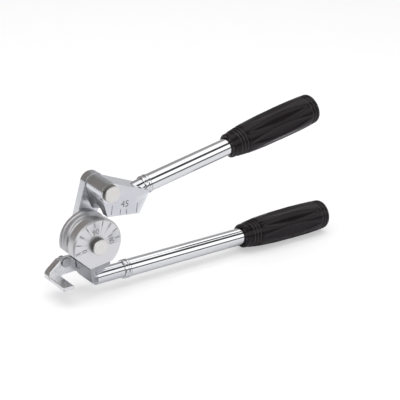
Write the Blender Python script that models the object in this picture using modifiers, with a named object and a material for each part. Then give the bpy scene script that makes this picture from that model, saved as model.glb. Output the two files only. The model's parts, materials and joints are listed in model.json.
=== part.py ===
"""Lever tube bender for 3/8 in (9.5 mm) tube: a grooved forming wheel fixed to one handle, and a
shoe handle that swings round it on a link bar, with a hook that holds the tube. Metres, +Z up.

The origin is on the forming wheel's axis, at the front face of its axle pin's head. The axis is Y,
+X runs along the lower handle, towards its grip, and the dial side faces -Y. Every piece is drawn
in the tool's own frame, which is looked at from the dial side: x to the right, y up and z towards
the viewer, from the middle of the wheel. TOOL, an empty turned 90 degrees about X, stands that
frame up behind the origin.
"""

import bmesh
import bpy
from math import asin, cos, pi, radians, sin, tan

MM = 0.001
GAP = 0.3 * MM

# Forming wheel, for a bend radius of 15/16 in
BEND_R = 23.8 * MM
GROOVE_R = 4.9 * MM
GROOVE_Z = -3.2 * MM
WHEEL_R = 25.0 * MM
WHEEL_HALF = 12.5 * MM
WHEEL_CHAMFER = 1.4 * MM
WHEEL_REAR_CHAMFER = 0.5 * MM
LIP_DEPTH = 0.45 * MM
LIP_WIDTH = 1.35 * MM
WHEEL_STEPS = 72
GROOVE_STEPS = 10
HOOK_FLAT = (radians(227.3), 20.6 * MM)
SHELF_FLAT = (radians(278.0), 20.1 * MM)
DOWEL_R = 1.7 * MM
DOWEL_HALF = 6.0 * MM
DOWEL_Z = -9.9 * MM
DOWEL_PLACES = {"wheel_dowel_left": -5.0 * MM, "wheel_dowel_right": 8.0 * MM}

# Pins, washers and retaining rings
AXLE_R = 5.5 * MM
AXLE_HEAD_R = 7.5 * MM
AXLE_HEAD_TOP = 17.3 * MM
PIVOT_R = 4.7 * MM
PIVOT_HEAD_R = 7.9 * MM
PIVOT_HEAD_H = 3.0 * MM
PIVOT_WASHER_R = 9.2 * MM
PIVOT_WASHER_T = 1.2 * MM
THRUST_R = 10.2 * MM
THRUST_T = 1.0 * MM
RECESS_DEPTH = 1.2 * MM
REAR_WASHER_R = 9.6 * MM
WASHER_T = 1.0 * MM
RING_T = 1.0 * MM
RING_W = 2.6 * MM
RING_GROOVE = 0.9 * MM
PIN_TAIL = 1.4 * MM
PIN_EDGE = 0.5 * MM
BUSH_T = 1.5 * MM

# Link bar
LINK_L = 49.0 * MM
LINK_ANGLE = radians(75.8)
LINK_HALF_WIDTH = 10.2 * MM
LINK_FRONT = -12.9 * MM
LINK_BACK = -20.9 * MM

# Fixed head: a block and a shelf under the wheel, a web and a toe that carry the shank, and a lug
# behind the tube hook
HEAD_BACK = -12.4 * MM
BLOCK_FRONT = 12.0 * MM
BLOCK_LEFT = -7.4 * MM
BLOCK_RIGHT = -2.5 * MM
SHELF_FRONT = 8.0 * MM
SHELF_RIGHT = 16.0 * MM
SHELF_BOTTOM = -25.5 * MM
WEB_FRONT = 3.0 * MM
TOE_HALF = 4.0 * MM
LUG_FRONT = -17.7 * MM
LUG_BACK = -20.9 * MM
LUG_R = 4.4 * MM
LUG_TOP = -19.7 * MM

# Handles: both have the same shank, ferrule, tube and grip
SHANK_R = 7.2 * MM
SPIGOT_R = 6.2 * MM
SPIGOT_L = 26.0 * MM
FERRULE_L = 6.4 * MM
FERRULE_R = 8.8 * MM
TUBE_R = 8.2 * MM
TUBE_T = 1.7 * MM
GRIP_L = 102.4 * MM
GRIP_BORE_L = 92.0 * MM
GRIP_STEPS = 40
FIXED_HANDLE_Y = -37.1 * MM
FIXED_SHANK_X = 4.4 * MM
SHANK_CONE_L = 2.0 * MM
SHANK_CONE_R = 5.4 * MM
FIXED_FERRULE_X = 33.4 * MM
FIXED_GRIP_X = 170.8 * MM

# Shoe handle. The handle's line passes SHOE_HANDLE_DROP below the pivot.
BLOCK_HALF = 12.4 * MM
SHOE_END_R = 9.3 * MM
SHOE_SLOPE = radians(-6.7)
SHOE_FACE = 22.7 * MM
SHOE_TOP_SLOPE = radians(-21.7)
SHOE_HANDLE_ANGLE = radians(11.2)
SHOE_HANDLE_DROP = 14.6 * MM
SHOE_GROOVE_CENTRE = 1.5 * MM
FLARE_R = 7.9 * MM
FLARE_L = 13.0 * MM
SHOE_SHANK_S = 20.0 * MM
SHOE_FERRULE_S = 39.5 * MM
SHOE_GRIP_S = 136.7 * MM

# Tube hook
HOOK_PIVOT = (-17.3 * MM, -22.0 * MM)
HOOK_ARM_FRONT = 12.0 * MM
HOOK_ARM_T = 4.0 * MM
HOOK_SEAT = 1.3 * MM
HOOK_THIN_X = -18.3 * MM
HOOK_THIN_BACK = -17.4 * MM
RIVET_R = 1.4 * MM
RIVET_HEAD_R = 4.6 * MM
RIVET_HEAD_H = 1.7 * MM
RIVET_TAIL_R = 3.1 * MM
RIVET_TAIL_H = 1.1 * MM

CHROME = ((0.80, 0.80, 0.82), 0.12, 1.0)
SATIN = ((0.62, 0.62, 0.63), 0.35, 1.0)
STEEL = ((0.56, 0.55, 0.53), 0.40, 1.0)
DARK_STEEL = ((0.20, 0.20, 0.21), 0.45, 1.0)
BRONZE = ((0.60, 0.42, 0.22), 0.45, 1.0)
BLACK_PLASTIC = ((0.020, 0.018, 0.019), 0.30, 0.0)


def new_collection(name):
    collection = bpy.data.collections.new(name)
    bpy.context.scene.collection.children.link(collection)
    return collection


def add_object(name, data, collection, parent):
    ob = bpy.data.objects.new(name, data)
    collection.objects.link(ob)
    ob.parent = parent
    return ob


for old in list(bpy.data.objects):
    bpy.data.objects.remove(old)
PARTS = new_collection("tube_bender")
CUTTERS = new_collection("cutters")
TOOL = add_object("tool_frame", None, PARTS, None)
TOOL.rotation_euler = (pi / 2, 0, 0)
TOOL.location = (0, AXLE_HEAD_TOP, 0)


# ---------------------------------------------------------------- shapes

def arc(centre, radius, start, end, steps):
    """Points along an arc from angle start to angle end, both included."""
    turn = (end - start) / steps
    return [
        (centre[0] + radius * cos(start + i * turn), centre[1] + radius * sin(start + i * turn))
        for i in range(steps + 1)
    ]


def turned(name, profile, steps, closed, parent=TOOL):
    """A piece turned about its own z. The profile holds (radius, z), down the outer side."""
    mesh = bpy.data.meshes.new(name)
    last = len(profile) - 1
    edges = [(i, i + 1) for i in range(last)]
    if closed:
        edges.append((last, 0))
    mesh.from_pydata([(radius, 0, z) for radius, z in profile], edges, [])
    ob = add_object(name, mesh, PARTS, parent)
    screw = ob.modifiers.new("Turn", "SCREW")
    screw.steps = steps
    screw.render_steps = steps
    screw.use_merge_vertices = True
    screw.merge_threshold = 0.00001
    screw.use_smooth_shade = True
    return ob


def sleeve(name, inner, outer, low, high, steps=48, parent=TOOL):
    profile = [(inner, high), (outer, high), (outer, low), (inner, low)]
    return turned(name, profile, steps, True, parent)


def cylinder(name, radius, low, high, sides=48, parent=TOOL, top_radius=None):
    """A plain cylinder or cone about its own z, between z = low and z = high."""
    mesh = bpy.data.meshes.new(name)
    bm = bmesh.new()
    top = radius if top_radius is None else top_radius
    bmesh.ops.create_cone(
        bm, cap_ends=True, segments=sides, radius1=radius, radius2=top, depth=high - low
    )
    bmesh.ops.translate(bm, verts=bm.verts, vec=(0, 0, (high + low) / 2))
    bm.to_mesh(mesh)
    bm.free()
    return add_object(name, mesh, PARTS, parent)


def plate(name, outline, low, high, parent=TOOL):
    """A flat outline in the xy plane, as thick as from z = low to z = high."""
    curve = bpy.data.curves.new(name, "CURVE")
    curve.dimensions = "2D"
    curve.fill_mode = "BOTH"
    curve.extrude = (high - low) / 2
    spline = curve.splines.new("POLY")
    spline.points.add(len(outline) - 1)
    for point, (x, y) in zip(spline.points, outline):
        point.co = (x, y, 0, 1)
    spline.use_cyclic_u = True
    guide = add_object(name + "_outline", curve, CUTTERS, None)
    guide.location.z = (high + low) / 2
    bpy.context.view_layer.update()
    depsgraph = bpy.context.evaluated_depsgraph_get()
    mesh = bpy.data.meshes.new_from_object(guide.evaluated_get(depsgraph))
    mesh.transform(guide.matrix_world)
    bm = bmesh.new()
    bm.from_mesh(mesh)
    bmesh.ops.remove_doubles(bm, verts=bm.verts, dist=0.000005)
    bmesh.ops.recalc_face_normals(bm, faces=bm.faces)
    bm.to_mesh(mesh)
    bm.free()
    bpy.data.objects.remove(guide)
    return add_object(name, mesh, PARTS, parent)


def box(name, size, centre, angle):
    mesh = bpy.data.meshes.new(name)
    bm = bmesh.new()
    bmesh.ops.create_cube(bm, size=1)
    bmesh.ops.scale(bm, verts=bm.verts, vec=size)
    bm.to_mesh(mesh)
    bm.free()
    ob = add_object(name, mesh, PARTS, TOOL)
    place(ob, centre, angle)
    return ob


def bevel(ob, width):
    """Breaks the sharp edges of a flat piece."""
    mod = ob.modifiers.new("Broken edges", "BEVEL")
    mod.width = width
    mod.segments = 1
    mod.limit_method = "ANGLE"
    mod.angle_limit = radians(50)


def combine(ob, tool, operation):
    """Cuts ob with tool, or joins tool to it. The tool goes to the cutters' collection."""
    PARTS.objects.unlink(tool)
    CUTTERS.objects.link(tool)
    tool.hide_render = True
    tool.display_type = "WIRE"
    boolean = ob.modifiers.new(tool.name, "BOOLEAN")
    boolean.operation = operation
    boolean.solver = "EXACT"
    boolean.object = tool


def cut(ob, tool):
    combine(ob, tool, "DIFFERENCE")


def join(ob, tool):
    combine(ob, tool, "UNION")


def place(ob, location, angle=0.0):
    ob.location = location
    ob.rotation_euler = (0, 0, angle)


def lay(ob, start, angle):
    """Lays a piece that is drawn along its own z on a line in the xy plane."""
    ob.location = start
    ob.rotation_euler = (0, pi / 2, angle)


def point_along(start, angle, distance):
    return (start[0] + distance * cos(angle), start[1] + distance * sin(angle), 0)


def finish(ob, look):
    """Gives a piece its material."""
    colour, roughness, metallic = look
    mat = bpy.data.materials.new(ob.name)
    mat.use_nodes = True
    shader = mat.node_tree.nodes["Principled BSDF"]
    shader.inputs["Base Color"].default_value = (*colour, 1)
    shader.inputs["Roughness"].default_value = roughness
    shader.inputs["Metallic"].default_value = metallic
    ob.data.materials.append(mat)
    if ob.data.polygons:
        ob.data.shade_smooth()
        ob.data.set_sharp_from_angle(angle=radians(30))


# ---------------------------------------------------------------- pins and washers

def headed_pin(name, radius, head_r, head_low, head_high, parent=TOOL, location=(0, 0, 0)):
    """A pin with a flat head on the dial side and a ring groove behind the link."""
    ring_high = LINK_BACK - GAP - WASHER_T
    ring_low = ring_high - RING_T - 2 * GAP
    tail = ring_low - PIN_TAIL
    profile = [
        (0, head_high),
        (head_r - PIN_EDGE, head_high),
        (head_r, head_high - PIN_EDGE),
        (head_r, head_low),
        (radius, head_low),
        (radius, ring_high),
        (radius - RING_GROOVE, ring_high),
        (radius - RING_GROOVE, ring_low),
        (radius, ring_low),
        (radius, tail + PIN_EDGE),
        (radius - PIN_EDGE, tail),
        (0, tail),
    ]
    pin = turned(name, profile, 48, False, parent)
    place(pin, location)
    finish(pin, STEEL)


def rear_fixings(washer_name, ring_name, pin_r, parent=TOOL, location=(0, 0, 0)):
    """The washer behind the link, and the open ring in the pin's groove."""
    washer_high = LINK_BACK - GAP
    ring = sleeve(washer_name, pin_r + GAP, REAR_WASHER_R, washer_high - WASHER_T + GAP, washer_high,
                  parent=parent)
    place(ring, location)
    finish(ring, STEEL)

    inner = pin_r - RING_GROOVE + GAP
    mouth = radians(26)
    outline = arc((0, 0), inner + RING_W, mouth, 2 * pi - mouth, 24)
    outline += arc((0, 0), inner, 2 * pi - mouth, mouth, 24)
    ring_high = washer_high - WASHER_T - GAP
    clip = plate(ring_name, outline, ring_high - RING_T, ring_high, parent)
    place(clip, location)
    finish(clip, DARK_STEEL)


# ---------------------------------------------------------------- fixed side

def forming_wheel():
    groove = arc((BEND_R, GROOVE_Z), GROOVE_R, pi / 2, 3 * pi / 2, GROOVE_STEPS)
    lip_r = WHEEL_R - LIP_DEPTH
    lip_front = GROOVE_Z + GROOVE_R + LIP_WIDTH
    lip_back = GROOVE_Z - GROOVE_R - LIP_WIDTH
    recess_z = RECESS_DEPTH - WHEEL_HALF
    profile = [
        (AXLE_R + GAP, WHEEL_HALF),
        (WHEEL_R - WHEEL_CHAMFER, WHEEL_HALF),
        (WHEEL_R, WHEEL_HALF - WHEEL_CHAMFER),
        (WHEEL_R, lip_front),
        (lip_r, lip_front - LIP_WIDTH + LIP_DEPTH),
        *groove,
        (lip_r, lip_back + LIP_WIDTH - LIP_DEPTH),
        (WHEEL_R, lip_back),
        (WHEEL_R, WHEEL_REAR_CHAMFER - WHEEL_HALF),
        (WHEEL_R - WHEEL_REAR_CHAMFER, -WHEEL_HALF),
        (THRUST_R + GAP, -WHEEL_HALF),
        (THRUST_R + GAP, recess_z),
        (AXLE_R + GAP, recess_z),
    ]
    wheel = turned("forming_wheel", profile, WHEEL_STEPS, True)
    reach = 15 * MM
    for name, (angle, distance) in (("hook_flat", HOOK_FLAT), ("shelf_flat", SHELF_FLAT)):
        centre = point_along((0, 0), angle, distance + reach)
        cut(wheel, box(name, (2 * reach, 60 * MM, 40 * MM), centre, angle))
    for name in DOWEL_PLACES:
        cut(wheel, dowel_rod(name + "_wheel_hole", name, GAP))
    finish(wheel, SATIN)


def dowel_rod(rod_name, place_name, clearance):
    """A rod across the seam between the wheel and the shelf, at one of the dowels' places."""
    angle, distance = SHELF_FLAT
    along_seam = DOWEL_PLACES[place_name]
    x = distance * cos(angle) - along_seam * sin(angle)
    y = distance * sin(angle) + along_seam * cos(angle)
    half = DOWEL_HALF + clearance
    rod = cylinder(rod_name, DOWEL_R + clearance, -half, half, 24)
    lay(rod, (x, y, DOWEL_Z), angle)
    return rod


def shelf_y(x):
    """The height of the shelf's top, just under the wheel's flat."""
    angle, distance = SHELF_FLAT
    return (distance + GAP - x * cos(angle)) / sin(angle)


def fixed_head():
    block = [(BLOCK_LEFT, shelf_y(BLOCK_LEFT)), (-5.6 * MM, -35.0 * MM), (-4.4 * MM, -36.6 * MM)]
    block += [(BLOCK_RIGHT, -36.9 * MM), (BLOCK_RIGHT, shelf_y(BLOCK_RIGHT))]
    head = plate("hook_handle_head", block, HEAD_BACK, BLOCK_FRONT)
    bevel(head, 0.7 * MM)

    inside = BLOCK_RIGHT - 2 * MM
    shelf = [(inside, shelf_y(inside)), (inside, SHELF_BOTTOM), (14.5 * MM, SHELF_BOTTOM)]
    shelf += [(SHELF_RIGHT, SHELF_BOTTOM + 2 * MM), (SHELF_RIGHT, shelf_y(SHELF_RIGHT))]
    join(head, plate("head_shelf", shelf, HEAD_BACK + 0.1 * MM, SHELF_FRONT))
    web_top = SHELF_BOTTOM + 1 * MM
    web = [(inside, web_top), (inside, -36 * MM), (13 * MM, -36 * MM), (14 * MM, web_top)]
    join(head, plate("head_web", web, HEAD_BACK + 0.2 * MM, WEB_FRONT))
    toe_right = FIXED_SHANK_X + 1 * MM
    toe = [(-3.2 * MM, -36.0 * MM), (toe_right, -41.6 * MM), (toe_right, -31 * MM), (-3.2 * MM, -31 * MM)]
    join(head, plate("head_toe", toe, -TOE_HALF, TOE_HALF))

    bridge = [(-3.5 * MM, -36.5 * MM), (10 * MM, -36.5 * MM), (10 * MM, -25 * MM), (-3.5 * MM, -25 * MM)]
    join(head, plate("head_bridge", bridge, LUG_BACK, HEAD_BACK + 3 * MM))
    top_corner = pi - asin((LUG_TOP - HOOK_PIVOT[1]) / LUG_R)
    lug = arc(HOOK_PIVOT, LUG_R, top_corner, radians(285), 12)
    lug += [(-2 * MM, -34 * MM), (-2 * MM, -24 * MM), (-9 * MM, LUG_TOP)]
    join(head, plate("head_lug", lug, LUG_BACK + 0.1 * MM, LUG_FRONT))

    shank = cylinder("head_shank", SHANK_R, 0, FIXED_FERRULE_X - GAP - FIXED_SHANK_X, 48)
    lay(shank, (FIXED_SHANK_X, FIXED_HANDLE_Y, 0), 0)
    join(head, shank)
    overlap = 0.3 * MM
    cone_top = SHANK_R - 0.05 * MM
    cone = cylinder("head_shank_end", SHANK_CONE_R, -SHANK_CONE_L, overlap, 48, TOOL, cone_top)
    lay(cone, (FIXED_SHANK_X, FIXED_HANDLE_Y, 0), 0)
    join(head, cone)
    spigot = cylinder("head_spigot", SPIGOT_R, -2 * MM, SPIGOT_L, 48)
    lay(spigot, (FIXED_FERRULE_X, FIXED_HANDLE_Y, 0), 0)
    join(head, spigot)

    hole = cylinder("head_rivet_hole", RIVET_R + GAP, -30 * MM, -15 * MM, 32)
    place(hole, (*HOOK_PIVOT, 0))
    cut(head, hole)
    for name in DOWEL_PLACES:
        cut(head, dowel_rod(name + "_head_hole", name, GAP))
    finish(head, SATIN)


def hook_rivet():
    front = LINK_FRONT + GAP
    back = LUG_BACK - GAP
    edge = 0.5 * MM
    profile = [
        (0, front + RIVET_HEAD_H),
        (RIVET_HEAD_R - edge, front + RIVET_HEAD_H),
        (RIVET_HEAD_R, front + RIVET_HEAD_H - edge),
        (RIVET_HEAD_R, front),
        (RIVET_R, front),
        (RIVET_R, back),
        (RIVET_TAIL_R, back),
        (RIVET_TAIL_R - edge, back - RIVET_TAIL_H),
        (0, back - RIVET_TAIL_H),
    ]
    rivet = turned("hook_pivot_rivet", profile, 40, False)
    place(rivet, (*HOOK_PIVOT, 0))
    finish(rivet, STEEL)


def grip_profile():
    """(distance from the front lip, radius) along the grip's outer side."""
    shape = [(0, 10.9), (0.6, 11.6), (3, 11.7), (5, 12.6), (20, 14.1), (41, 15.2), (61, 15.6)]
    shape += [(80, 15.4), (92, 15.0), (98, 14.6), (100.8, 14.3), (101.9, 13.4), (102.4, 11.6)]
    return [(s * MM, r * MM) for s, r in shape]


def handle_set(prefix, start, ferrule_s, grip_s, angle, parent=TOOL):
    """The ferrule, tube and grip of one handle. Distances run from start along the handle."""
    bore = SPIGOT_R + GAP
    waist = FERRULE_R - 0.6 * MM
    rim = FERRULE_R - 0.5 * MM
    sections = [(0, rim), (0.5, FERRULE_R), (1.9, FERRULE_R), (2.5, waist), (3.7, waist)]
    sections += [(4.3, FERRULE_R), (5.9, FERRULE_R), (FERRULE_L / MM, rim)]
    profile = [(bore, FERRULE_L), *((r, s * MM) for s, r in reversed(sections)), (bore, 0)]
    ferrule = turned(prefix + "_ferrule", profile, 48, True, parent)
    lay(ferrule, point_along(start, angle, ferrule_s), angle)
    finish(ferrule, CHROME)

    tube_s = ferrule_s + FERRULE_L + GAP
    length = grip_s + GRIP_BORE_L - 1 * MM - tube_s
    tube = sleeve(prefix + "_handle_tube", TUBE_R - TUBE_T, TUBE_R, 0, length, 48, parent)
    lay(tube, point_along(start, angle, tube_s), angle)
    finish(tube, CHROME)

    bore = TUBE_R + GAP
    profile = [(0, GRIP_L), *((r, s) for s, r in reversed(grip_profile())), (bore, 0)]
    profile += [(bore, GRIP_BORE_L), (0, GRIP_BORE_L)]
    grip = turned(prefix + "_grip", profile, GRIP_STEPS, False, parent)
    lay(grip, point_along(start, angle, grip_s), angle)
    finish(grip, BLACK_PLASTIC)


def fixed_side():
    forming_wheel()
    for name in DOWEL_PLACES:
        finish(dowel_rod(name, name, 0.0), STEEL)
    fixed_head()
    headed_pin("wheel_axle_pin", AXLE_R, AXLE_HEAD_R, WHEEL_HALF + GAP, AXLE_HEAD_TOP)
    low = LINK_FRONT + GAP
    finish(sleeve("axle_thrust_washer", AXLE_R + GAP, THRUST_R, low, low + THRUST_T), STEEL)
    rear_fixings("axle_rear_washer", "axle_retaining_ring", AXLE_R)
    hook_rivet()
    handle_set("fixed", (0, FIXED_HANDLE_Y), FIXED_FERRULE_X, FIXED_GRIP_X, 0)


# ---------------------------------------------------------------- tube hook

def tube_hook():
    """A plate behind the wheel, with an arm that reaches across the tube. It is thinner round the
    rivet and on the lug's side of it. Its origin is on the rivet's axis."""
    joint = add_object("hook_swing", None, PARTS, TOOL)
    place(joint, (*HOOK_PIVOT, 0))
    shift_x, shift_y = HOOK_PIVOT

    def local(points):
        return [(x * MM - shift_x, y * MM - shift_y) for x, y in points]

    outline = local([(-34.5, -36.7), (-23.5, -36.7), (-20.5, -34.0), (-6.2, -33.5), (-7.0, -24.0)])
    outline += local([(-11.0, -19.2), (-23.5, -20.0), (-33.2, -28.2), (-35.2, -31.5)])
    hook = plate("tube_hook", outline, LINK_BACK, LINK_FRONT, joint)
    bevel(hook, 0.5 * MM)
    relief = local([(HOOK_THIN_X / MM, -45), (0, -45), (0, -10), (HOOK_THIN_X / MM, -10)])
    cut(hook, plate("hook_relief", relief, LINK_BACK - 5 * MM, HOOK_THIN_BACK, joint))
    cut(hook, cylinder("hook_round_relief", LUG_R + GAP, LINK_BACK - 5 * MM, HOOK_THIN_BACK, 48, joint))

    low = -36.7 * MM - shift_y
    high = low + HOOK_ARM_T
    left = -34.4 * MM - shift_x
    right = -23.4 * MM - shift_x
    arm = [(left, low + 0.1 * MM), (right, low + 0.1 * MM), (right, high - HOOK_SEAT)]
    arm += [(right - HOOK_SEAT, high), (left, high)]
    bar = plate("hook_arm", arm, LINK_BACK + 1 * MM, HOOK_ARM_FRONT, joint)
    bevel(bar, 0.4 * MM)
    join(hook, bar)
    cut(hook, cylinder("hook_rivet_hole", RIVET_R + GAP, -30 * MM, 0, 32, joint))
    finish(hook, SATIN)


# ---------------------------------------------------------------- link

def link():
    joint = add_object("link_swing", None, PARTS, TOOL)
    place(joint, (0, 0, 0), LINK_ANGLE)
    outline = arc((0, 0), LINK_HALF_WIDTH, pi / 2, 3 * pi / 2, 20)
    outline += arc((LINK_L, 0), LINK_HALF_WIDTH, -pi / 2, pi / 2, 20)
    bar = plate("link_bar", outline, LINK_BACK, LINK_FRONT, joint)
    bevel(bar, 0.5 * MM)
    bush_r = AXLE_R + GAP + BUSH_T
    cut(bar, cylinder("link_axle_hole", bush_r + GAP, -30 * MM, 0, 48, joint))
    hole = cylinder("link_pivot_hole", PIVOT_R + GAP, -30 * MM, 0, 48, joint)
    place(hole, (LINK_L, 0, 0))
    cut(bar, hole)
    finish(bar, SATIN)
    finish(sleeve("link_axle_bushing", AXLE_R + GAP, bush_r, LINK_BACK, LINK_FRONT, 48, joint), BRONZE)

    spot = (LINK_L, 0, 0)
    head_low = BLOCK_HALF + GAP + PIVOT_WASHER_T + GAP
    headed_pin("shoe_pivot_pin", PIVOT_R, PIVOT_HEAD_R, head_low, head_low + PIVOT_HEAD_H, joint, spot)
    rear_fixings("pivot_rear_washer", "pivot_retaining_ring", PIVOT_R, joint, spot)
    return joint


# ---------------------------------------------------------------- shoe handle

def shoe_outline():
    """The block's outline about the pivot: a round end, a sloping top and the straight shoe."""
    slope = SHOE_SLOPE
    across = (sin(slope) * SHOE_FACE, -cos(slope) * SHOE_FACE)

    def on_shoe(distance):
        return (across[0] + distance * cos(slope), across[1] + distance * sin(slope))

    top = SHOE_TOP_SLOPE + pi / 2
    outline = arc((0, 0), SHOE_END_R, top, radians(186), 14)
    outline += [(-6.0 * MM, -10.5 * MM), on_shoe(0.6 * MM), on_shoe(34.4 * MM)]
    corner_x = 41.1 * MM
    outline += [(39.9 * MM, -11.0 * MM)]
    outline += [(corner_x, SHOE_END_R / cos(SHOE_TOP_SLOPE) + corner_x * tan(SHOE_TOP_SLOPE))]
    return outline


def shoe_handle(link_joint):
    joint = add_object("shoe_swing", None, PARTS, link_joint)
    place(joint, (LINK_L, 0, 0), -LINK_ANGLE)
    block = plate("shoe_handle_head", shoe_outline(), -BLOCK_HALF, BLOCK_HALF, joint)
    bevel(block, 0.7 * MM)

    angle = SHOE_HANDLE_ANGLE
    foot = (SHOE_HANDLE_DROP * sin(angle), -SHOE_HANDLE_DROP * cos(angle))
    shank = cylinder("shoe_shank", SHANK_R, 0, SHOE_FERRULE_S - GAP - SHOE_SHANK_S, 48, joint)
    lay(shank, point_along(foot, angle, SHOE_SHANK_S), angle)
    join(block, shank)
    spigot = cylinder("shoe_spigot", SPIGOT_R, -2 * MM, SPIGOT_L, 48, joint)
    lay(spigot, point_along(foot, angle, SHOE_FERRULE_S), angle)
    join(block, spigot)

    slope = SHOE_SLOPE
    depth = SHOE_FACE + SHOE_GROOVE_CENTRE
    start = (depth * sin(slope), -depth * cos(slope), GROOVE_Z)
    groove = cylinder("shoe_groove", GROOVE_R, -20 * MM, 60 * MM, 32, joint)
    lay(groove, start, slope)
    cut(block, groove)
    flare = cylinder("shoe_flare", FLARE_R + 3 * MM, -8 * MM, FLARE_L, 32, joint, GROOVE_R - 0.5 * MM)
    lay(flare, start, slope)
    cut(block, flare)

    bush_r = PIVOT_R + GAP + BUSH_T
    cut(block, cylinder("shoe_pivot_hole", bush_r + GAP, -20 * MM, 20 * MM, 48, joint))
    finish(block, SATIN)
    bush = sleeve("shoe_pivot_bushing", PIVOT_R + GAP, bush_r, -BLOCK_HALF, BLOCK_HALF, 48, joint)
    finish(bush, BRONZE)
    low = BLOCK_HALF + GAP
    disc = sleeve("shoe_pivot_washer", PIVOT_R + GAP, PIVOT_WASHER_R, low, low + PIVOT_WASHER_T, 48, joint)
    finish(disc, STEEL)
    handle_set("shoe", foot, SHOE_FERRULE_S, SHOE_GRIP_S, angle, joint)


def main():
    fixed_side()
    tube_hook()
    shoe_handle(link())


main()
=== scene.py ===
"""Looks for the lever tube bender: chrome and satin plate, fluted black grips and engraved marks.

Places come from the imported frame. The tool's own frame has x to the right along the lower
handle, y up and z out of the dial side, so that a point (x, y, z) there is (x, -z, y) here.
"""

import bmesh
import bpy
import json
import numpy as np
from math import cos, pi, radians, sin
from mathutils import Matrix, Vector


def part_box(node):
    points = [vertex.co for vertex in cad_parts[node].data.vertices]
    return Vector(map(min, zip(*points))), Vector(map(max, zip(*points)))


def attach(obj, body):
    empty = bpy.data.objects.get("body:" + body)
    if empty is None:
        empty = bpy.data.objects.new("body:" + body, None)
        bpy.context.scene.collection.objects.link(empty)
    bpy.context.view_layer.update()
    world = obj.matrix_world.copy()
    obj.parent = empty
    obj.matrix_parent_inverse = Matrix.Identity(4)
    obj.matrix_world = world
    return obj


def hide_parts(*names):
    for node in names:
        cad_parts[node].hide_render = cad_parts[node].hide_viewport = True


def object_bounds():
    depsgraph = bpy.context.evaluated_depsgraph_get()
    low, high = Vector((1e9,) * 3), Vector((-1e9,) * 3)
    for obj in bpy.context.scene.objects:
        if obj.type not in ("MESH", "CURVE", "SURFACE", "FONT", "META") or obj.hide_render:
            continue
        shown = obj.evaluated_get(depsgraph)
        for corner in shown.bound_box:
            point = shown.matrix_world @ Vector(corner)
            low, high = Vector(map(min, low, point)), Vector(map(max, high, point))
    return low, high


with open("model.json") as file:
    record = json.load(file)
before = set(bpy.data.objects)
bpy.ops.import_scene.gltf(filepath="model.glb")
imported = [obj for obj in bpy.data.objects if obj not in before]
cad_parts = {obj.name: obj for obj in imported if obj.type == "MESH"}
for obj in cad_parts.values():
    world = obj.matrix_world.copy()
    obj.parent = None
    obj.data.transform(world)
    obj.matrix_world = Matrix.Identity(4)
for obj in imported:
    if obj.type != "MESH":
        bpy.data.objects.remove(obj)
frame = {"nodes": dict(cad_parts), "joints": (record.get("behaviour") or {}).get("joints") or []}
CAD_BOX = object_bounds()

MM = 0.001

# Grip: distances run from the front lip, in mm. The outline is the outer radius without grooves
# at each station, and the end is (radius, distance from the flat end) over its rounded edge.
GRIP_AROUND = 240
GRIP_LENGTH = 102.4
GRIP_BORE_RADIUS = 8.5
GRIP_BORE_LENGTH = 92.0
GRIP_STATIONS = (0, 0.5, 1.4, 4.5, 7.5, 20, 41, 61, 80, 92, 99)
GRIP_RADII = (10.9, 11.4, 11.6, 11.7, 12.5, 14.05, 15.15, 15.55, 15.35, 14.95, 14.45)
GRIP_END = ((6.0, 0), (11.3, 0), (12.6, 0.3), (13.5, 0.9), (14.1, 1.8), (14.35, 3.0))
GRIP_LIP_EDGE = 0.4
GRIP_LIP_DEPTH = 0.5
GRIP_SIDE_START = 99.1
GRIP_SIDE_END = 0.3
GRIP_FINE_STEP = 0.36
GRIP_COARSE_STEP = 0.9
GRIP_FINE_BELOW = 19
GRIP_FINE_ABOVE = 90
GRIP_RING_GROOVES = (9.4, 12.6, 15.8, 93.4, 97.2)
GRIP_RING_WIDTH = 1.3
GRIP_RING_DEPTH = 1.15
FLUTES = 8
FLUTE_START = 18.5
FLUTE_END = 91.5
FLUTE_DEPTH = 1.7
FLUTE_WIDTH = 0.95
FLUTE_SWELL = 0.7
FLUTED_ABOVE_RADIUS = 12

# A handle's shank is 7.2 mm in radius, and this is how far from its axis chrome faces may reach
SHANK_LIMIT = 7.4

# The upper block's round end is 9.3 mm in radius, so faces farther than this aren't part of it
ROUND_END_LIMIT = 9.6

# Edges: rounding in mm, and the angles in degrees over which an edge is rounded or kept sharp
EDGE_ROUND = 0.25
ROUNDED_EDGE_ANGLE = 35
SHARP_EDGE_ANGLE = 32
GRIP_SHARP_EDGE_ANGLE = 50

# Dial and index marks, in mm. A dial number is (text, place round the dial in degrees, radius,
# turn in degrees). A shoe line is (distance from the pivot along the shoe's edge, the heights of
# its two ends over that edge). The shoe's number is (text, distance, height).
MARK_DEPTH = 0.35
MARK_WIDTH = 0.6
DIAL_TICKS = 9
DIAL_START = radians(190)
DIAL_TICK_INNER = 18.3
DIAL_TICK_OUTER = 22.7
DIAL_NUMBERS = (("0", 190, 13.6, 100), ("90", 100, 13.6, 10), ("180", 14, 13.6, -76))
NUMBER_HEIGHT = 6.2
DIAL_NUMBER_HEIGHT = 4.8
FONT_SIZE_OVER_HEIGHT = 1.38
SHOE_SLOPE = radians(-6.7)
SHOE_FACE = 22.7
SHOE_LINES = ((4.0, 1.6, 10.5), (13.3, 1.2, 6.0), (19.9, 1.2, 5.6), (30.6, 1.2, 10.5))
SHOE_NUMBER = ("45", 17.2, 10.6)

# Camera, as the tool is seen from the front left
CAMERA_PLACE = (-0.60502, -0.93110, 0.52441)
CAMERA_RIGHT = Vector((0.80392, -0.59347, 0.03890))
CAMERA_UP = Vector((0.20564, 0.33873, 0.91814))
CAMERA_LENS = 126.0
CAMERA_SENSOR = 36.0
CAMERA_NEAR = 0.05

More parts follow.
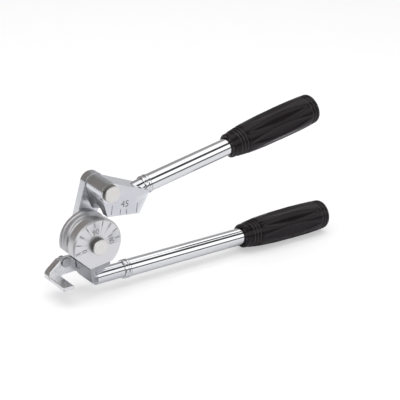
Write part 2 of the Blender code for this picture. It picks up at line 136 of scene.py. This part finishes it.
# Stage, in metres and watts
FLOOR_HALF = 4.0
LIGHT_SIZE = 1.6
LIGHT_POWER = 12.0
LIGHT_PLACE = (0.0, -0.2, 1.4)

# What metal mirrors: the floor near the tool, far behind it on the left, and where it is seen
# towards the left, and then the dark card that stands behind the tool
CARD_NEAR = (0.70, 0.705, 0.73)
CARD_FAR = (0.88, 0.885, 0.90)
CARD_SIDE = (0.10, 0.10, 0.11)
CARD_BEHIND = (0.22, 0.205, 0.195)

# The studio's soft boxes and dark gaps as (degrees about X, brightness)
SOFT_BOXES = ((-180, 0.42), (-8, 0.42), (-4, 0.05), (12, 0.05), (15, 1.05), (49, 1.05), (51, 0.05),
              (73, 0.05), (76, 1.1), (122, 1.1), (128, 0.34), (180, 0.34))


# ---------------------------------------------------------------- material nodes

def new_material(name):
    mat = bpy.data.materials.new(name)
    mat.use_nodes = True
    return mat, mat.node_tree.nodes, mat.node_tree.links


def scaled_noise(nodes, links, coordinates, scale, detail=4.0):
    """Noise in the frame's metres, stretched by a scale for each axis."""
    mapping = nodes.new("ShaderNodeMapping")
    mapping.inputs["Scale"].default_value = scale
    links.new(coordinates, mapping.inputs["Vector"])
    noise = nodes.new("ShaderNodeTexNoise")
    noise.inputs["Scale"].default_value = 1.0
    noise.inputs["Detail"].default_value = detail
    links.new(mapping.outputs["Vector"], noise.inputs["Vector"])
    return noise.outputs["Fac"]


def remap(nodes, links, value, low, high, source=(0.3, 0.7)):
    node = nodes.new("ShaderNodeMapRange")
    node.inputs["From Min"].default_value = source[0]
    node.inputs["From Max"].default_value = source[1]
    node.inputs["To Min"].default_value = low
    node.inputs["To Max"].default_value = high
    links.new(value, node.inputs["Value"])
    return node.outputs["Result"]


def arithmetic(nodes, links, operation, first, second):
    node = nodes.new("ShaderNodeMath")
    node.operation = operation
    for socket, value in zip(node.inputs, (first, second)):
        if isinstance(value, (int, float)):
            socket.default_value = value
        else:
            links.new(value, socket)
    return node.outputs["Value"]


def mix_colour(nodes, links, factor, first, second):
    node = nodes.new("ShaderNodeMix")
    node.data_type = "RGBA"
    links.new(factor, node.inputs["Factor"])
    for socket, value in ((node.inputs["A"], first), (node.inputs["B"], second)):
        if isinstance(value, tuple):
            socket.default_value = (*value, 1)
        else:
            links.new(value, socket)
    return node.outputs["Result"]


def edge_factor(nodes, links, low=0.52, high=0.60):
    """1 on outside edges and 0 elsewhere, for plate that wear leaves brighter there and for grip ridges
    that are paler with wear and a painted highlight.
    """
    geometry = nodes.new("ShaderNodeNewGeometry")
    return remap(nodes, links, geometry.outputs["Pointiness"], 0.0, 1.0, (low, high))


def square_to_axis(nodes, links):
    """1 where a face looks along Y, as every joint's axis does, and 0 where it looks across it."""
    normal = nodes.new("ShaderNodeNewGeometry").outputs["Normal"]
    split = nodes.new("ShaderNodeSeparateXYZ")
    links.new(normal, split.inputs["Vector"])
    size = arithmetic(nodes, links, "ABSOLUTE", split.outputs["Y"], 0.0)
    return remap(nodes, links, size, 0.0, 1.0, (0.15, 0.85))


def add_bump(nodes, links, shader, height, strength, distance):
    bump = nodes.new("ShaderNodeBump")
    bump.inputs["Strength"].default_value = strength
    bump.inputs["Distance"].default_value = distance
    links.new(height, bump.inputs["Height"])
    links.new(bump.outputs["Normal"], shader.inputs["Normal"])


def turning_rings(nodes, links, coordinates, centre, scale):
    """Fine rings about an axis along Y, as a lathe leaves them on faces and round the rim."""
    offset = nodes.new("ShaderNodeVectorMath")
    offset.operation = "SUBTRACT"
    offset.inputs[1].default_value = centre
    links.new(coordinates, offset.inputs[0])
    flat = nodes.new("ShaderNodeVectorMath")
    flat.operation = "MULTIPLY"
    flat.inputs[1].default_value = (1, 0, 1)
    links.new(offset.outputs["Vector"], flat.inputs[0])
    length = nodes.new("ShaderNodeVectorMath")
    length.operation = "LENGTH"
    links.new(flat.outputs["Vector"], length.inputs[0])
    noise = nodes.new("ShaderNodeTexNoise")
    noise.noise_dimensions = "1D"
    noise.inputs["Scale"].default_value = scale
    noise.inputs["Detail"].default_value = 5.0
    depth = nodes.new("ShaderNodeSeparateXYZ")
    links.new(coordinates, depth.inputs["Vector"])
    place = arithmetic(nodes, links, "ADD", length.outputs["Value"], depth.outputs["Y"])
    links.new(place, noise.inputs["W"])
    return noise.outputs["Fac"]


def metal(name, colour, roughness, spread, grain, bump, tint=0.9, rings=None, side=1.0):
    """Plated or turned metal: a grain that varies gloss and height, cloudy patches and bright edges.
    The grain is a scale for each axis or, with the centre of some rings, the rings' scale. Faces
    square to the wheel's axis keep their colour, and the others get painted shade, darkened to side."""
    mat, nodes, links = new_material(name)
    shader = nodes["Principled BSDF"]
    shader.inputs["Metallic"].default_value = 1.0
    coordinates = nodes.new("ShaderNodeTexCoord").outputs["Object"]
    if rings is None:
        fine = scaled_noise(nodes, links, coordinates, grain, 6.0)
    else:
        fine = turning_rings(nodes, links, coordinates, rings, grain)
    clouds = scaled_noise(nodes, links, coordinates, (90, 90, 90), 3.0)
    darker = tuple(channel * tint for channel in colour)
    mottle = arithmetic(nodes, links, "ADD", remap(nodes, links, clouds, 0.0, 0.5),
                        remap(nodes, links, fine, 0.0, 0.5))
    patchy = mix_colour(nodes, links, mottle, darker, colour)
    edges = edge_factor(nodes, links)
    brighter = tuple(min(1.0, channel * 1.15) for channel in colour)
    wear_and_side_shade = mix_colour(nodes, links, edges, patchy, brighter)
    # Painted shade: faces across the axis, such as the side walls of pin heads, are darkened to side
    if side < 1:
        shaded = tuple(channel * side for channel in colour)
        wear_and_side_shade = mix_colour(nodes, links, square_to_axis(nodes, links), shaded, wear_and_side_shade)
    links.new(wear_and_side_shade, shader.inputs["Base Color"])
    gloss = remap(nodes, links, fine, roughness - spread, roughness + spread)
    smudge = remap(nodes, links, clouds, -spread / 2, spread / 2)
    total = arithmetic(nodes, links, "ADD", gloss, smudge)
    links.new(total, shader.inputs["Roughness"])
    add_bump(nodes, links, shader, fine, bump, 0.03 * MM)
    return mat


def moulded_black(name):
    """Semi-gloss black plastic with a fine moulded skin, and ridges made paler by wear and a painted
    highlight.
    """
    mat, nodes, links = new_material(name)
    shader = nodes["Principled BSDF"]
    coordinates = nodes.new("ShaderNodeTexCoord").outputs["Object"]
    skin = scaled_noise(nodes, links, coordinates, (2600, 2600, 2600), 3.0)
    clouds = scaled_noise(nodes, links, coordinates, (70, 70, 70), 4.0)
    patches = remap(nodes, links, clouds, 0.0, 1.0)
    base = mix_colour(nodes, links, patches, (0.0085, 0.0058, 0.0068), (0.0115, 0.0082, 0.0095))
    ridges = edge_factor(nodes, links, 0.505, 0.56)
    # The ridges are paler with wear and carry a painted highlight along the flute edges
    ridge_wear_and_highlight = mix_colour(nodes, links, ridges, base, (0.075, 0.064, 0.071))
    links.new(ridge_wear_and_highlight, shader.inputs["Base Color"])
    gloss = remap(nodes, links, clouds, 0.23, 0.29)
    grain = remap(nodes, links, skin, -0.02, 0.02)
    links.new(arithmetic(nodes, links, "ADD", gloss, grain), shader.inputs["Roughness"])
    shader.inputs["Specular IOR Level"].default_value = 0.17
    shader.inputs["Coat Weight"].default_value = 0.14
    shader.inputs["Coat Roughness"].default_value = 0.12
    add_bump(nodes, links, shader, skin, 0.12, 0.05 * MM)
    return mat


def engraved(name):
    """The dark floor and walls of a stamped mark."""
    mat, nodes, links = new_material(name)
    shader = nodes["Principled BSDF"]
    shader.inputs["Metallic"].default_value = 0.6
    coordinates = nodes.new("ShaderNodeTexCoord").outputs["Object"]
    grime = scaled_noise(nodes, links, coordinates, (900, 900, 900), 4.0)
    patches = remap(nodes, links, grime, 0.0, 1.0)
    colour = mix_colour(nodes, links, patches, (0.17, 0.17, 0.18), (0.29, 0.29, 0.30))
    links.new(colour, shader.inputs["Base Color"])
    shader.inputs["Roughness"].default_value = 0.6
    return mat


def pale_floor(name):
    """A matt pale floor that glows a little, to fade the shadows. Metal mirrors it as a grey card
    that gets paler behind the tool on its left and is dark where it is seen towards the left."""
    mat, nodes, links = new_material(name)
    shader = nodes["Principled BSDF"]
    coordinates = nodes.new("ShaderNodeTexCoord").outputs["Object"]
    grain = scaled_noise(nodes, links, coordinates, (400, 400, 400), 4.0)
    colour = mix_colour(nodes, links, grain, (0.62, 0.62, 0.62), (0.64, 0.64, 0.64))
    split = nodes.new("ShaderNodeSeparateXYZ")
    links.new(coordinates, split.inputs["Vector"])
    diagonal = arithmetic(nodes, links, "SUBTRACT", split.outputs["Y"], split.outputs["X"])
    far_left = remap(nodes, links, diagonal, 0.0, 1.0, (-0.10, 0.35))
    plain_card = mix_colour(nodes, links, far_left, CARD_NEAR, CARD_FAR)
    back_along = nodes.new("ShaderNodeSeparateXYZ")
    links.new(nodes.new("ShaderNodeNewGeometry").outputs["Incoming"], back_along.inputs["Vector"])
    sideways = remap(nodes, links, back_along.outputs["X"], 0.0, 1.0, (0.68, 0.76))
    card = mix_colour(nodes, links, sideways, plain_card, CARD_SIDE)
    glossy = nodes.new("ShaderNodeLightPath").outputs["Is Glossy Ray"]
    links.new(mix_colour(nodes, links, glossy, colour, card), shader.inputs["Base Color"])
    glow = mix_colour(nodes, links, glossy, (0.42, 0.42, 0.42), (0.0, 0.0, 0.0))
    links.new(glow, shader.inputs["Emission Color"])
    shader.inputs["Emission Strength"].default_value = 1.0
    shader.inputs["Roughness"].default_value = 0.9
    shader.inputs["Specular IOR Level"].default_value = 0.1
    return mat


def joint_centre(name):
    places = {joint["name"]: joint["pos_m"] for joint in frame["joints"]}
    return tuple(places[name])


def make_materials():
    wheel = (0, 0, 0)
    pivot = joint_centre("shoe_handle_pivot")
    hook = joint_centre("hook_swing")
    warm = (0.88, 0.84, 0.81)
    along_y = (2600, 220, 2600)
    return {
        "chrome": metal("bright chrome", (0.86, 0.865, 0.89), 0.075, 0.03, (350, 350, 350), 0.05, 0.96),
        "satin": metal("satin plate", (0.84, 0.85, 0.88), 0.20, 0.03, (160, 160, 1400), 0.06),
        "wheel": metal("turned satin plate", (0.77, 0.765, 0.77), 0.37, 0.06, 1500, 0.25, 0.84, wheel),
        "hook": metal("brushed dark plate", (0.78, 0.78, 0.79), 0.27, 0.07, along_y, 0.25, 0.86),
        # Painted shade: a darker copy of the brushed plate for head faces that sit in shade under the
        # wheel and in the throat
        "shaded": metal("brushed shaded plate", (0.44, 0.44, 0.46), 0.30, 0.07, along_y, 0.2, 0.8),
        # The pins' and the rivet's side walls carry painted shade, darkened to side
        "axle": metal("axle steel", warm, 0.32, 0.06, 2600, 0.2, rings=wheel, side=0.15),
        "pivot": metal("pivot steel", warm, 0.32, 0.06, 2600, 0.2, rings=pivot, side=0.2),
        "rivet": metal("rivet steel", (0.58, 0.58, 0.59), 0.33, 0.06, 2600, 0.2, rings=hook, side=0.3),
        "dark": metal("spring steel", (0.16, 0.16, 0.17), 0.40, 0.08, (1200, 1200, 1200), 0.2, 0.8),
        "bronze": metal("bearing bronze", (0.55, 0.37, 0.19), 0.36, 0.08, (900, 900, 900), 0.2, 0.8),
        "grip": moulded_black("moulded black"),
        "mark": engraved("stamped mark"),
    }


# ---------------------------------------------------------------- mesh helpers

def link_object(name, mesh):
    ob = bpy.data.objects.new(name, mesh)
    bpy.context.scene.collection.objects.link(ob)
    return ob


def revolve(name, profile, around, matrix, radius_at):
    """A closed turned mesh about z. The profile holds (radius, z) in mm and starts and ends on
    the axis. radius_at(radius, z, angle) gives the radius round the turn."""
    verts = []
    faces = []
    inner = profile[1:-1]
    for radius, z in inner:
        for i in range(around):
            angle = 2 * pi * i / around
            r = radius_at(radius, z, angle)
            verts.append((r * cos(angle) * MM, r * sin(angle) * MM, z * MM))
    for ring in range(len(inner) - 1):
        for i in range(around):
            j = (i + 1) % around
            a = ring * around
            faces.append((a + i, a + j, a + around + j, a + around + i))
    for end, ring in ((profile[0], 0), (profile[-1], len(inner) - 1)):
        tip = len(verts)
        verts.append((0, 0, end[1] * MM))
        for i in range(around):
            j = (i + 1) % around
            pair = (ring * around + i, ring * around + j)
            faces.append((tip, pair[1], pair[0]) if ring == 0 else (tip, *pair))
    mesh = bpy.data.meshes.new(name)
    mesh.from_pydata(verts, [], faces)
    mesh.transform(matrix)
    return link_object(name, mesh)


def paint(ob, mat):
    ob.data.materials.clear()
    ob.data.materials.append(mat)


def centre_of(node):
    low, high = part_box(node)
    return (low + high) / 2


# ---------------------------------------------------------------- grips

def handle_matrix(prefix):
    """The matrix of one handle's axis, with z along it and its origin at the grip's front lip."""
    start = centre_of(prefix + "_ferrule")
    direction = (centre_of(prefix + "_handle_tube") - start).normalized()
    grip = frame["nodes"][prefix + "_grip"]
    front = min((vertex.co - start).dot(direction) for vertex in grip.data.vertices)
    turn = direction.to_track_quat("Z", "Y").to_matrix().to_4x4()
    return Matrix.Translation(start + direction * front) @ turn


def grip_radius(s):
    """The grip's outer radius without its grooves, at s mm from the front lip."""
    return float(np.interp(s, GRIP_STATIONS, GRIP_RADII))


def ring_groove(s):
    """How deep the ring grooves are at s."""
    depth = 0.0
    for place in GRIP_RING_GROOVES:
        offset = abs(s - place) / GRIP_RING_WIDTH
        if offset < 1:
            depth = max(depth, GRIP_RING_DEPTH * (0.5 + 0.5 * cos(pi * offset)))
    return depth


def flute_depth(s, angle):
    """Long pointed hollows side by side round the grip, deepest at their middle line."""
    if not FLUTE_START < s < FLUTE_END:
        return 0.0
    along = (s - FLUTE_START) / (FLUTE_END - FLUTE_START)
    swell = sin(pi * along) ** FLUTE_SWELL
    half = swell * FLUTE_WIDTH * pi / FLUTES
    pitch = 2 * pi / FLUTES
    offset = abs((angle + pitch / 2) % pitch - pitch / 2)
    if offset >= half:
        return 0.0
    return FLUTE_DEPTH * min(1.0, swell) * (1 - (offset / half) ** 2)


def grip_profile():
    """The closed profile as (radius, s): the flat end, its rounded edge, the outer side down to the
    lip, and the bore."""
    end = [(0, GRIP_LENGTH), *((radius, GRIP_LENGTH - back) for radius, back in GRIP_END)]
    outer = []
    s = GRIP_SIDE_START
    while s > GRIP_SIDE_END:
        outer.append((grip_radius(s) - ring_groove(s), s))
        fine = s > GRIP_FINE_ABOVE or s < GRIP_FINE_BELOW
        s -= GRIP_FINE_STEP if fine else GRIP_COARSE_STEP
    lip = [(GRIP_RADII[0], 0), (GRIP_BORE_RADIUS + GRIP_LIP_EDGE, 0), (GRIP_BORE_RADIUS, GRIP_LIP_DEPTH)]
    return end + outer + lip + [(GRIP_BORE_RADIUS, GRIP_BORE_LENGTH), (0, GRIP_BORE_LENGTH)]


def fluted(radius, s, angle):
    """The radius with the flutes cut in, which leave the lip and the bore as they are."""
    return radius - flute_depth(s, angle) if radius > FLUTED_ABOVE_RADIUS else radius


def make_grip(prefix, body, mat):
    matrix = handle_matrix(prefix)
    grip = revolve(prefix + "_fluted_grip", grip_profile(), GRIP_AROUND, matrix, fluted)
    grip.data.shade_smooth()
    grip.data.set_sharp_from_angle(angle=radians(GRIP_SHARP_EDGE_ANGLE))
    paint(grip, mat)
    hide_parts(prefix + "_grip")
    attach(grip, body)


# ---------------------------------------------------------------- engraved marks

def tool_to_world(x, y, z, turn=0.0):
    """The matrix of a mark that lies on a dial-side face at (x, y, z) mm, turned by turn."""
    stand = Matrix.Rotation(pi / 2, 4, "X")
    return stand @ Matrix.Translation((x * MM, y * MM, z * MM)) @ Matrix.Rotation(turn, 4, "Z")


def bar_mesh(name, width, height, depth):
    """A bar with its long side along y, centred on the face."""
    mesh = bpy.data.meshes.new(name)
    bm = bmesh.new()
    bmesh.ops.create_cube(bm, size=1)
    bmesh.ops.scale(bm, verts=bm.verts, vec=(width * MM, height * MM, 2 * depth * MM))
    bm.to_mesh(mesh)
    bm.free()
    return mesh


def number_mesh(text, height, depth):
    """A number as a closed mesh, centred on the face."""
    curve = bpy.data.curves.new("number", "FONT")
    curve.body = text
    curve.size = height * FONT_SIZE_OVER_HEIGHT * MM
    curve.extrude = depth * MM
    curve.align_x = "CENTER"
    curve.align_y = "CENTER"
    curve.resolution_u = 3
    guide = link_object("number", curve)
    bpy.context.view_layer.update()
    depsgraph = bpy.context.evaluated_depsgraph_get()
    mesh = bpy.data.meshes.new_from_object(guide.evaluated_get(depsgraph))
    bpy.data.objects.remove(guide)
    return mesh


def cut_marks(node, body, name, marks, mat):
    """Sinks marks, a list of (mesh, matrix), into a CAD node's face with one Boolean."""
    bm = bmesh.new()
    for mesh, matrix in marks:
        piece = mesh.copy()
        piece.transform(matrix)
        bm.from_mesh(piece)
    bmesh.ops.remove_doubles(bm, verts=bm.verts, dist=0.000001)
    joined = bpy.data.meshes.new(name)
    bm.to_mesh(joined)
    bm.free()
    cutter = link_object(name, joined)
    paint(cutter, mat)
    cutter.hide_render = True
    cutter.display_type = "WIRE"
    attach(cutter, body)
    boolean = node.modifiers.new("Marks", "BOOLEAN")
    boolean.object = cutter
    boolean.solver = "EXACT"
    boolean.material_mode = "TRANSFER"
    boolean.use_self = True


def dial_marks():
    face = -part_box("forming_wheel")[0].y / MM
    marks = []
    middle = (DIAL_TICK_INNER + DIAL_TICK_OUTER) / 2
    tick = bar_mesh("tick", MARK_WIDTH, DIAL_TICK_OUTER - DIAL_TICK_INNER, MARK_DEPTH)
    for i in range(DIAL_TICKS):
        angle = DIAL_START - pi * i / (DIAL_TICKS - 1)
        matrix = tool_to_world(middle * cos(angle), middle * sin(angle), face, angle - pi / 2)
        marks.append((tick, matrix))
    for text, place, radius, turn in DIAL_NUMBERS:
        angle = radians(place)
        matrix = tool_to_world(radius * cos(angle), radius * sin(angle), face, radians(turn))
        marks.append((number_mesh(text, DIAL_NUMBER_HEIGHT, MARK_DEPTH), matrix))
    return marks


def shoe_marks():
    """Index lines that rise from the shoe's edge, and a number over them."""
    pivot = joint_centre("shoe_handle_pivot")
    face = -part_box("shoe_handle_head")[0].y / MM
    origin = Vector((pivot[0] / MM, pivot[2] / MM))
    along = Vector((cos(SHOE_SLOPE), sin(SHOE_SLOPE)))
    up = Vector((-sin(SHOE_SLOPE), cos(SHOE_SLOPE)))

    def at(distance, height):
        place = origin + along * distance + up * (height - SHOE_FACE)
        return tool_to_world(place.x, place.y, face, SHOE_SLOPE)

    marks = []
    for distance, low, high in SHOE_LINES:
        line = bar_mesh("line", MARK_WIDTH, high - low, MARK_DEPTH)
        marks.append((line, at(distance, (low + high) / 2)))
    text, distance, height = SHOE_NUMBER
    marks.append((number_mesh(text, NUMBER_HEIGHT, MARK_DEPTH), at(distance, height)))
    return marks


# ---------------------------------------------------------------- CAD nodes

def weld(node):
    joined = node.modifiers.new("Weld", "WELD")
    joined.merge_threshold = 0.000002


def soften(node):
    """Rounds a CAD node's edges."""
    rounded = node.modifiers.new("Rounded edges", "BEVEL")
    rounded.width = EDGE_ROUND * MM
    rounded.segments = 2
    rounded.limit_method = "ANGLE"
    rounded.angle_limit = radians(ROUNDED_EDGE_ANGLE)
    rounded.use_clamp_overlap = True


def make_smoother():
    """A node group that shades everything smooth except edges sharper than SHARP_EDGE_ANGLE."""
    group = bpy.data.node_groups.new("smooth by angle", "GeometryNodeTree")
    group.interface.new_socket("Geometry", in_out="INPUT", socket_type="NodeSocketGeometry")
    group.interface.new_socket("Geometry", in_out="OUTPUT", socket_type="NodeSocketGeometry")
    nodes = group.nodes
    links = group.links
    source = nodes.new("NodeGroupInput")
    result = nodes.new("NodeGroupOutput")
    smooth = nodes.new("GeometryNodeSetShadeSmooth")
    sharp = nodes.new("GeometryNodeSetShadeSmooth")
    sharp.domain = "EDGE"
    sharp.inputs["Shade Smooth"].default_value = False
    angle = nodes.new("GeometryNodeInputMeshEdgeAngle")
    test = nodes.new("FunctionNodeCompare")
    test.operation = "GREATER_THAN"
    test.inputs["B"].default_value = radians(SHARP_EDGE_ANGLE)
    links.new(angle.outputs["Unsigned Angle"], test.inputs["A"])
    links.new(source.outputs["Geometry"], smooth.inputs["Geometry"])
    links.new(smooth.outputs["Geometry"], sharp.inputs["Geometry"])
    links.new(test.outputs["Result"], sharp.inputs["Selection"])
    links.new(sharp.outputs["Geometry"], result.inputs["Geometry"])
    return group


def smooth_flats(node, smoother):
    """Shades round stretches smooth and flat faces flat, whatever triangles they are made of."""
    mod = node.modifiers.new("Smooth by angle", "NODES")
    mod.node_group = smoother
    normals = node.modifiers.new("Flat faces", "WEIGHTED_NORMAL")
    normals.keep_sharp = True


def chrome_shank(prefix, node, chrome):
    """Gives the round shank of a handle's head the tubes' bright plate."""
    start = centre_of(prefix + "_ferrule")
    direction = (centre_of(prefix + "_handle_tube") - start).normalized()
    node.data.materials.append(chrome)
    for face in node.data.polygons:
        offsets = [node.data.vertices[i].co - start for i in face.vertices]
        reach = max((offset - direction * offset.dot(direction)).length for offset in offsets)
        across = abs(face.normal.dot(direction))
        centre = sum(offsets, Vector()) / len(offsets)
        outward = (centre - direction * centre.dot(direction)).normalized()
        if reach < SHANK_LIMIT * MM and across < 0.2 and face.normal.dot(outward) > 0.9:
            face.material_index = 1


def paint_shade_on_sides(node, joint, brushed, directions):
    """Paints shade on a head: the faces that look in any of the directions get a darker copy of the
    brushed plate, except on the round end about its joint."""
    centre = Vector(joint_centre(joint))
    node.data.materials.append(brushed)
    for face in node.data.polygons:
        offset = face.center - centre
        offset.y = 0
        clear = offset.length > ROUND_END_LIMIT * MM
        facing = max(face.normal.dot(direction) for direction in directions)
        if facing > 0.75 and clear and face.material_index == 0:
            face.material_index = len(node.data.materials) - 1


def dress(mats):
    """A material for every CAD node that stays in view, and a smooth look for its edges."""
    looks = {
        "forming_wheel": "wheel",
        "hook_handle_head": "satin",
        "link_bar": "satin",
        "shoe_handle_head": "satin",
        "tube_hook": "hook",
        "wheel_axle_pin": "axle",
        "shoe_pivot_pin": "pivot",
        "shoe_pivot_washer": "chrome",
        "pivot_rear_washer": "pivot",
        "axle_thrust_washer": "axle",
        "axle_rear_washer": "axle",
        "hook_pivot_rivet": "rivet",
        "wheel_dowel_left": "axle",
        "wheel_dowel_right": "axle",
        "axle_retaining_ring": "dark",
        "pivot_retaining_ring": "dark",
        "link_axle_bushing": "bronze",
        "shoe_pivot_bushing": "bronze",
        "fixed_ferrule": "chrome",
        "fixed_handle_tube": "chrome",
        "shoe_ferrule": "chrome",
        "shoe_handle_tube": "chrome",
    }
    for name, look in looks.items():
        node = frame["nodes"][name]
        paint(node, mats[look])
        weld(node)
    for name in ("link_bar", "tube_hook", "hook_handle_head", "shoe_handle_head"):
        soften(frame["nodes"][name])
    fixed_head = frame["nodes"]["hook_handle_head"]
    shoe_head = frame["nodes"]["shoe_handle_head"]
    left = Vector((-1, 0, 0))
    front = Vector((0, -1, 0))
    chrome_shank("fixed", fixed_head, mats["chrome"])
    chrome_shank("shoe", shoe_head, mats["chrome"])
    # Painted shade on the heads' left faces, under the wheel and in the throat, and on the fixed head's
    # front web below the wheel
    paint_shade_on_sides(fixed_head, "link_swing", mats["shaded"], (left, front))
    paint_shade_on_sides(shoe_head, "shoe_handle_pivot", mats["shaded"], (left,))
    wheel = frame["nodes"]["forming_wheel"]
    cut_marks(wheel, "fixed_side", "dial_mark_cutter", dial_marks(), mats["mark"])
    cut_marks(shoe_head, "shoe_side", "shoe_mark_cutter", shoe_marks(), mats["mark"])
    smoother = make_smoother()
    for name in looks:
        smooth_flats(frame["nodes"][name], smoother)


# ---------------------------------------------------------------- stage

def make_floor():
    low = CAD_BOX[0].z
    mesh = bpy.data.meshes.new("floor")
    corners = [(x * FLOOR_HALF, y * FLOOR_HALF, low) for x, y in ((-1, -1), (1, -1), (1, 1), (-1, 1))]
    mesh.from_pydata(corners, [], [(0, 1, 2, 3)])
    floor = link_object("floor", mesh)
    paint(floor, pale_floor("pale floor"))


def make_camera():
    data = bpy.data.cameras.new("camera")
    data.lens = CAMERA_LENS
    data.sensor_width = CAMERA_SENSOR
    data.clip_start = CAMERA_NEAR
    camera = link_object("camera", data)
    back = CAMERA_RIGHT.cross(CAMERA_UP).normalized()
    matrix = Matrix((CAMERA_RIGHT, CAMERA_UP, back)).transposed().to_4x4()
    matrix.translation = CAMERA_PLACE
    camera.matrix_world = matrix
    bpy.context.scene.camera = camera


def make_world():
    """Soft boxes over and in front of the tool, with dark gaps between them, by the angle about X:
    0 is level in front, 90 is straight up and 180 is level behind. A dark card stands behind the
    tool on its left, for the round ends to reflect."""
    world = bpy.data.worlds.new("studio")
    world.use_nodes = True
    bpy.context.scene.world = world
    nodes = world.node_tree.nodes
    links = world.node_tree.links
    coordinates = nodes.new("ShaderNodeTexCoord").outputs["Generated"]
    split = nodes.new("ShaderNodeSeparateXYZ")
    links.new(coordinates, split.inputs["Vector"])
    forward = arithmetic(nodes, links, "MULTIPLY", split.outputs["Y"], -1.0)
    turn = arithmetic(nodes, links, "ARCTAN2", split.outputs["Z"], forward)
    share = arithmetic(nodes, links, "MULTIPLY_ADD", turn, 1 / (2 * pi))
    share.node.inputs[2].default_value = 0.5
    ramp = nodes.new("ShaderNodeValToRGB")
    elements = ramp.color_ramp.elements
    while len(elements) < len(SOFT_BOXES):
        elements.new(0.5)
    for element, (angle, value) in zip(elements, SOFT_BOXES):
        element.position = (angle + 180) / 360
        element.color = (value, value, value * 1.01, 1)
    links.new(share, ramp.inputs["Fac"])
    behind = remap(nodes, links, split.outputs["Y"], 0.0, 1.0, (0.25, 0.5))
    left = remap(nodes, links, split.outputs["X"], 1.0, 0.0, (0.1, 0.5))
    card = arithmetic(nodes, links, "MULTIPLY", behind, left)
    shaded = mix_colour(nodes, links, card, ramp.outputs["Color"], CARD_BEHIND)
    background = nodes["Background"]
    links.new(shaded, background.inputs["Color"])
    background.inputs["Strength"].default_value = 1.0


def make_lights():
    """One wide soft box overhead, which reflections don't show."""
    data = bpy.data.lights.new("overhead", "AREA")
    data.shape = "RECTANGLE"
    data.size = LIGHT_SIZE
    data.size_y = LIGHT_SIZE
    data.energy = LIGHT_POWER
    light = link_object("overhead", data)
    light.location = LIGHT_PLACE
    light.visible_glossy = False


def main():
    mats = make_materials()
    dress(mats)
    make_grip("fixed", "fixed_side", mats["grip"])
    make_grip("shoe", "shoe_side", mats["grip"])
    make_floor()
    make_camera()
    make_world()
    make_lights()
    bpy.context.scene.view_settings.view_transform = "Standard"


main()
